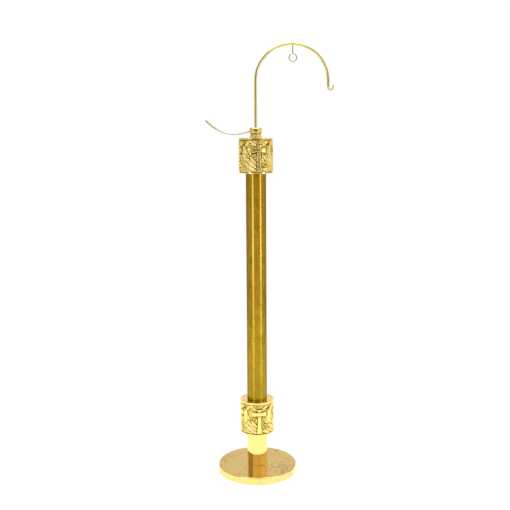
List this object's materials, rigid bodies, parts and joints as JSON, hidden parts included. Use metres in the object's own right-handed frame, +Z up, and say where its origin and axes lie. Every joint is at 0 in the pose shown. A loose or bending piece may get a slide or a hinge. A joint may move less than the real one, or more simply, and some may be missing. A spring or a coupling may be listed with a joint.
{
  "type": "thurible stand",
  "caption": "Floor stand for a thurible: weighted disc base, tubular column with cast relief collars, turning crook with a swivelling loop hook, and a side arm for the incense boat.",
  "frame": {"origin": "centre of the felt underside of the base, on the floor, on the column's axis", "axes": "+Z up along the column; the crook arches towards +X, the side arm points towards -X, and the front faces -Y"},
  "size_m": [0.3769, 0.24, 1.292],
  "materials": {
    "gold_plate": "mirror-polished gold plate on brass",
    "gold_casting": "polished gold plate on a brass casting",
    "column_brass": "satin brass, darkened and mottled",
    "rod_brass": "polished drawn brass rod",
    "turned_brass": "as turned",
    "steel": "zinc plated",
    "iron": "painted black",
    "felt": "pressed green felt",
    "fibre": "red vulcanised fibre",
    "nylon": "natural nylon"
  },
  "bodies": {
    "stand": {"base_felt": "felt", "base_shell": "gold_plate", "ballast_plate": "iron", "bottom_washer": "steel", "spring_washer": "steel", "bottom_nut": "steel", "tie_rod": "steel", "neck_foot_spigot": "turned_brass", "neck_tube": "gold_plate", "neck_top_spigot": "turned_brass", "lower_collar": "gold_casting", "lower_collar_bottom_disc": "gold_plate", "lower_collar_top_disc": "gold_plate", "column_bottom_plug": "turned_brass", "column_tube": "column_brass", "column_top_plug": "turned_brass", "upper_collar": "gold_casting", "upper_collar_bottom_disc": "gold_plate", "upper_collar_top_disc": "gold_plate", "top_boss": "gold_plate", "crook_bush": "nylon", "retaining_cap": "gold_plate", "friction_washer": "fibre"},
    "side_arm": {"arm_ring": "gold_plate", "boat_arm": "rod_brass"},
    "crook_rod": {"crook": "rod_brass"},
    "loop_hook": {"swivel_hook": "rod_brass"}
  },
  "joints": [
    {"name": "arm_turn", "type": "hinge", "parent": "stand", "child": "side_arm", "pos_m": [0, 0, 1.0425], "axis": [0, 0, 1], "continuous": true},
    {"name": "crook_turn", "type": "hinge", "parent": "stand", "child": "crook_rod", "pos_m": [0, 0, 1.02], "axis": [0, 0, 1], "continuous": true},
    {"name": "loop_swivel", "type": "hinge", "parent": "crook_rod", "child": "loop_hook", "pos_m": [0.1075, 0, 1.265], "axis": [0, 0, 1], "continuous": true}
  ]
}
